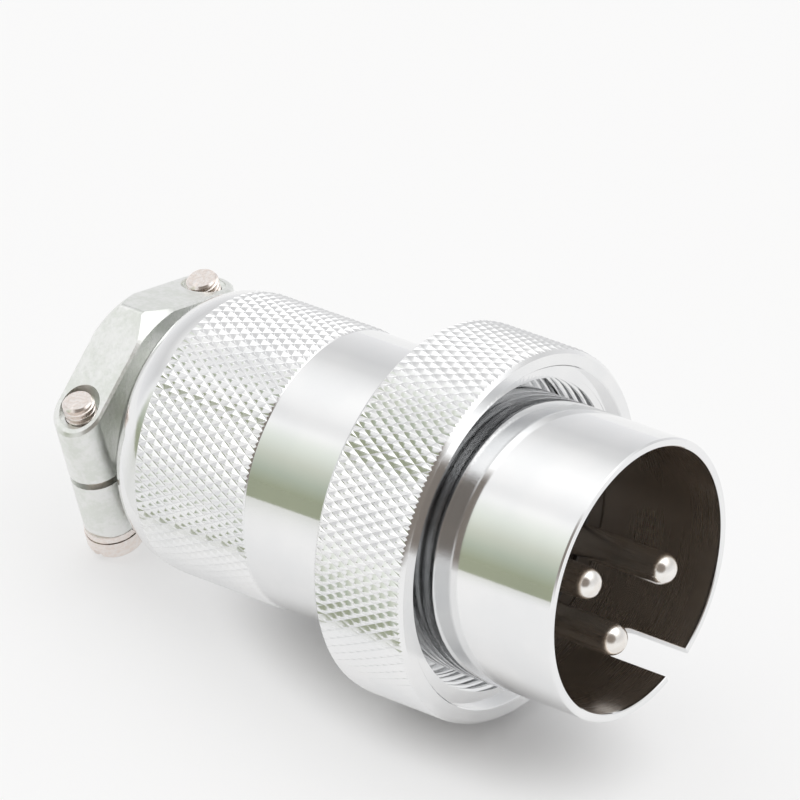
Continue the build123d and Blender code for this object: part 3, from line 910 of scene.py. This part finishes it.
def clamp_saddle():
    """Cast lower jaw: the upper one's bar turned over, with seats for the screws' spring washers."""
    shape = bored_bar(SCREW_CLEAR_D / 2, FLAT_AT_SCREW - SADDLE_SEAT_DEPTH, SCREW_HEAD_D / 2 + LOOSE)
    join(shape, half_neck(BACK.rear + 2 * LOOSE))
    bmesh.ops.scale(shape, vec=(1, 1, -1), verts=shape.verts)
    bmesh.ops.reverse_faces(shape, faces=shape.faces)
    return shape


def clamp_screw(y, low, high):
    """Pan-head screw that enters from below, with a real thread and a driver slot."""
    return stand(join(screw_head(low), screw_thread(low + SCREW_HEAD_H, high)), y)


def screw_head(low):
    """Slotted head with a round edge. It lies along the plug's axis, with its outer end at x = low."""
    head_r, seat = SCREW_HEAD_D / 2, low + SCREW_HEAD_H
    head = bar(-seat, -low, head_r)
    head.normal_update()
    outer = [edge for edge in head.edges if all(abs(vert.co.x - low) < WELD for vert in edge.verts)]
    rim = [edge for edge in outer if edge.calc_face_angle(0.0) > SMOOTH_LIMIT]
    form = {"offset": SCREW_HEAD_ROUND, "segments": HEAD_STEPS, "profile": 0.5, "clamp_overlap": True}
    bmesh.ops.bevel(head, geom=rim, affect="EDGES", material=-1, **form)
    slot_start = (low - PAST, -head_r - PAST, -SCREW_SLOT_W / 2)
    slot_end = (low + SCREW_SLOT_DEPTH, head_r + PAST, SCREW_SLOT_W / 2)
    return combine(head, block(slot_start, slot_end))


def screw_thread(seat, high):
    """The screw's thread from its head's seat to a chamfered tip, along the plug's axis."""
    thread = threaded_bar(-high, -seat + FIT, SCREW_D / 2, SCREW_MINOR_R, SCREW_PITCH, SCREW_THREAD_STEPS)
    tip_r = SCREW_D / 2 + WELD
    envelope = turned(
        [
            (-high - WELD, 0),
            (-high - WELD, tip_r - SCREW_TIP_CHAMFER),
            (-high + SCREW_TIP_CHAMFER, tip_r),
            (-seat + 2 * FIT, tip_r),
            (-seat + 2 * FIT, 0),
        ],
        ROUND_STEPS,
    )
    return combine(thread, envelope, "INTERSECT")


def contact_pin(place, rear):
    """Round-nosed contact with a collar and a solder cup cut open on its outer side."""
    collar = INSERT_STATION + INSERT_T / 2
    cup_r, cup_floor = CONTACT_R - SOLDER_CUP_WALL, rear - SOLDER_CUP_DEPTH
    nose = [math.radians(90 * step / NOSE_STEPS) for step in range(NOSE_STEPS + 1)]
    shape = turned(
        [
            *((CONTACT_TIP + CONTACT_R * (1 - math.cos(a)), CONTACT_R * math.sin(a)) for a in nose),
            (collar, CONTACT_R),
            (collar, CONTACT_COLLAR_R),
            (collar + CONTACT_COLLAR_T, CONTACT_COLLAR_R),
            (collar + CONTACT_COLLAR_T, CONTACT_R),
            (rear, CONTACT_R),
            (rear, cup_r),
            (cup_floor, cup_r),
            (cup_floor, 0),
        ],
        ROUND_STEPS,
    )
    past_r = CONTACT_R + PAST
    scoop = block((-rear - PAST, -past_r, 0), (-rear + SOLDER_CUP_OPENING, past_r, past_r))
    shape = combine(shape, scoop)
    outwards = math.atan2(place.z, place.y) - math.pi / 2
    turn = Matrix.Translation((0, place.y, place.z)) @ Matrix.Rotation(outwards, 4, "X")
    bmesh.ops.transform(shape, matrix=turn, verts=shape.verts)
    return shape


def dress_plug():
    """Makes every piece that shows and gives the nodes that stay their finish."""
    put(front_shell(), "turned_shell", "bright_plate", "plug", "front_shell")
    put(face_seal(), "face_seal", "insulator_black", "plug")
    put(coupling_nut(), "knurled_nut", "knurled_plate", "coupling_nut", "coupling_nut")
    put(back_shell(), "knurled_cap", "knurled_plate", "plug", "back_shell")
    put(clamp_body(), "upper_jaw", "cast_plate", "plug", "clamp_body")
    put(clamp_saddle(), "lower_jaw", "cast_plate", "clamp_saddle", "clamp_saddle")
    for number in CONTACT_NUMBERS:
        node = f"contact_pin_{number}"
        place = INTO_PLUG @ Vector(MOUNTS[f"contact_{number}"]["pos_m"])
        put(contact_pin(place, Reach(node).rear), f"contact_{number}", "contact_plate", "plug", node)
    for side, reach in SCREWS.items():
        screw = clamp_screw(SCREW_PLACES[side], reach.bottom, reach.top)
        put(screw, f"screw_{side}", "screw_nickel", f"clamp_screw_{side}", f"clamp_screw_{side}")
    for node in frame["nodes"].values():
        for slot in node.material_slots:
            slot.material = FINISHES[slot.material.name.split(".")[0]]


def stage_sheet(name, size, middle, finish):
    """A flat square on the table's plane that isn't part of the plug."""
    finish.shader.inputs["Specular IOR Level"].default_value = 0.0
    shape = bmesh.new()
    bmesh.ops.create_grid(shape, x_segments=1, y_segments=1, size=size / 2)
    bmesh.ops.translate(shape, vec=middle, verts=shape.verts)
    made = as_object(shape, name)
    made.data.materials.append(finish.material)
    return made


def table():
    """The pale table. Outside an oval of painted shadow round the plug, a share of plain white lightens it, to the
    eye and in the plate.
    """
    finish = Finish("table", 0.0)
    place = finish.on_frame()
    grain = finish.noise(place, 60.0)
    finish.wear(finish.mix(grain, (0.95, 0.95, 0.952), (0.96, 0.96, 0.96)), grain * 0.05 + 0.85)
    rays = ("Camera", "Glossy", "Transmission")
    seen, mirrored, through = (finish.add("ShaderNodeLightPath", output=f"Is {ray} Ray") for ray in rays)
    x, y = finish.split(place, "XY")
    # Painted shadow: the white share is left out in an oval round the plug, set by place on the table, which
    # darkens the table there beyond the real shadow.
    along = (x - PAINTED_SHADOW_MIDDLE_X) * (1 / PAINTED_SHADOW_STRETCH)
    outside_painted_shadow = (along * along + y * y).between(PAINTED_SHADOW_CORE**2, PAINTED_SHADOW_END**2)
    share = seen.maths("MINIMUM", seen + mirrored + through, 1.0) * outside_painted_shadow * TABLE_WHITE_SHARE
    white = finish.add("ShaderNodeEmission", {}, {"Color": TABLE_WHITE})
    cover = Value(finish, finish.shader.outputs["BSDF"])
    surface = finish.add("ShaderNodeMixShader", {}, {"Fac": share, 1: cover, 2: white})
    finish.feed(finish.tree.nodes["Material Output"].inputs["Surface"], surface)
    stage_sheet("table", TABLE_SIZE, (0, 0, 0), finish)


def dark_card():
    """A painted reflection: an olive card that only the plate mirrors, a field with straight edges and a faint
    fading edge of painted shade round it.
    """
    finish = Finish("dark card", 0.0)
    place = finish.on_frame()
    cloud = finish.noise(place, 8.0)
    x, y = finish.split(place, "XY")
    past_side = x - CARD_CORNER[0]
    past_edge = x.maths("MAXIMUM", past_side, y - CARD_CORNER[1] - past_side * CARD_SLANT)
    field = x.maths("LESS_THAN", past_edge, 0.0)
    # Painted shade: past the field's edge the card fades out, like the shade a standing card would cast on the
    # table, seen only in the plate.
    card_edge_shade = (1.0 - past_edge.between(0.0, CARD_SHADE_MARGIN)) * CARD_SHADE_MARGIN_SHARE
    finish.feed(finish.shader.inputs["Alpha"], x.maths("MAXIMUM", field, card_edge_shade))
    finish.wear(finish.mix(cloud, (0.34, 0.37, 0.27), (0.38, 0.41, 0.3)), cloud * 0.05 + 0.9)
    middle = [corner + CARD_SHADE_MARGIN - CARD_SIZE / 2 for corner in CARD_CORNER] + [CARD_LIFT]
    made = stage_sheet("dark_card", CARD_SIZE, middle, finish)
    # Hidden from the camera, from diffuse light and from shadows, the card shows only as a painted reflection in
    # the plate.
    made.visible_camera = made.visible_diffuse = made.visible_shadow = False


def surroundings():
    """A pale tent of light, brighter in front, with a gap onto a dim greenish room and the camera's shade."""
    world = bpy.data.worlds.new("surroundings")
    bpy.context.scene.world = world
    world.use_nodes = True
    nodes = Nodes(world.node_tree)
    nodes.tree.nodes.clear()
    x, y, z = nodes.split(nodes.add("ShaderNodeTexCoord"))
    ramps = (TENT, FRONT_WALL, ROOM)
    tent, front_wall, room = (nodes.add("ShaderNodeValToRGB", {"stops": ramp}, {"Fac": z}) for ramp in ramps)
    towards_front = x * math.sin(FRONT_AZIMUTH) + y * math.cos(FRONT_AZIMUTH)
    light = nodes.mix(towards_front.between(*FRONT_EDGE), tent, front_wall)
    off_gap = x.maths("ABSOLUTE", x.maths("ARCTAN2", x, y) - GAP_AZIMUTH)
    light = nodes.mix(off_gap.between(GAP_HALF, GAP_HALF + GAP_EDGE), room, light)
    camera_at = (PLUG_TURN @ CAMERA_PLACE).normalized()
    towards_camera = x * camera_at.x + y * camera_at.y + z * camera_at.z
    light = nodes.mix(towards_camera.between(*CAMERA_SHADE_EDGE), light, CAMERA_SHADE)
    background = nodes.add("ShaderNodeBackground", {}, {"Color": light, "Strength": 1.0})
    output = nodes.tree.nodes.new("ShaderNodeOutputWorld")
    nodes.feed(output.inputs["Surface"], background)


def camera():
    """The photograph's viewpoint, kept relative to the plug."""
    lens = bpy.data.cameras.new("camera")
    lens.lens, lens.sensor_width = CAMERA_LENS, CAMERA_SENSOR
    lens.clip_start, lens.clip_end = 0.01, 10.0
    made = bpy.data.objects.new("camera", lens)
    back = PLUG_TURN @ CAMERA_BACK.normalized()
    right = (PLUG_TURN @ CAMERA_UP).cross(back).normalized()
    turn = Matrix((right, back.cross(right), back)).transposed()
    made.matrix_world = Matrix.Translation(RIM + PLUG_TURN @ CAMERA_PLACE) @ turn.to_4x4()
    bpy.context.collection.objects.link(made)
    bpy.context.scene.camera = made


dress_plug()
table()
dark_card()
surroundings()
camera()
bpy.context.scene.view_settings.view_transform = "Standard"
bpy.context.scene.cycles.glossy_bounces = 10
